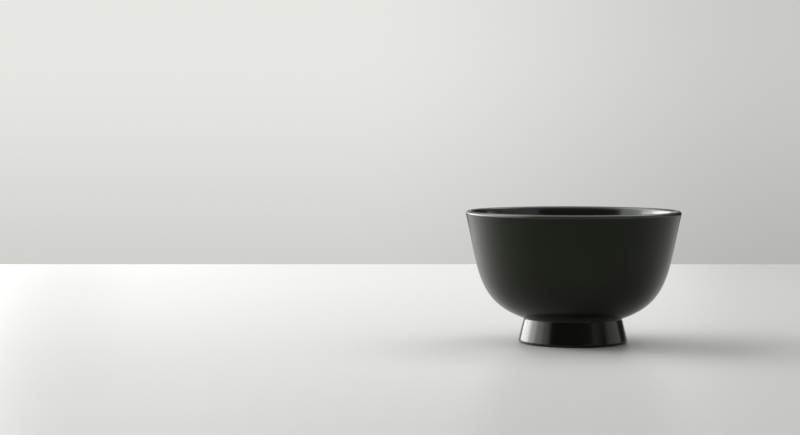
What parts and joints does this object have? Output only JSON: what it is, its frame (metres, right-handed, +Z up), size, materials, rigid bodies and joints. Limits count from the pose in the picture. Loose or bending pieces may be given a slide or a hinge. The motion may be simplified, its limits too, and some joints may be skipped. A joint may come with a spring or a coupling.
{
  "type": "rice bowl",
  "caption": "Deep round lacquered rice bowl with a rounded lip and a tall flared foot ring, on glued turned-wood cores with cloth reinforcement.",
  "frame": {"origin": "on the bowl's axis, on the surface that the standing ring rests on", "axes": "+Z up along the bowl's axis, from the foot to the mouth; the bowl is round, so +X and +Y are any two level directions"},
  "size_m": [0.12, 0.12, 0.0738],
  "materials": {
    "wood": "turned hardwood, sealed with raw lacquer",
    "cloth": "hemp cloth stiffened with lacquer",
    "outer_lacquer": "satin black lacquer",
    "inner_lacquer": "semi-gloss black lacquer",
    "foot_lacquer": "gloss black lacquer"
  },
  "bodies": {
    "root": {"bowl_core": "wood", "foot_core": "wood", "rim_cloth": "cloth", "bottom_cloth": "cloth", "foot_cloth": "cloth", "outer_coat": "outer_lacquer", "inner_coat": "inner_lacquer", "foot_coat": "foot_lacquer", "well_coat": "foot_lacquer"}
  },
  "joints": []
}
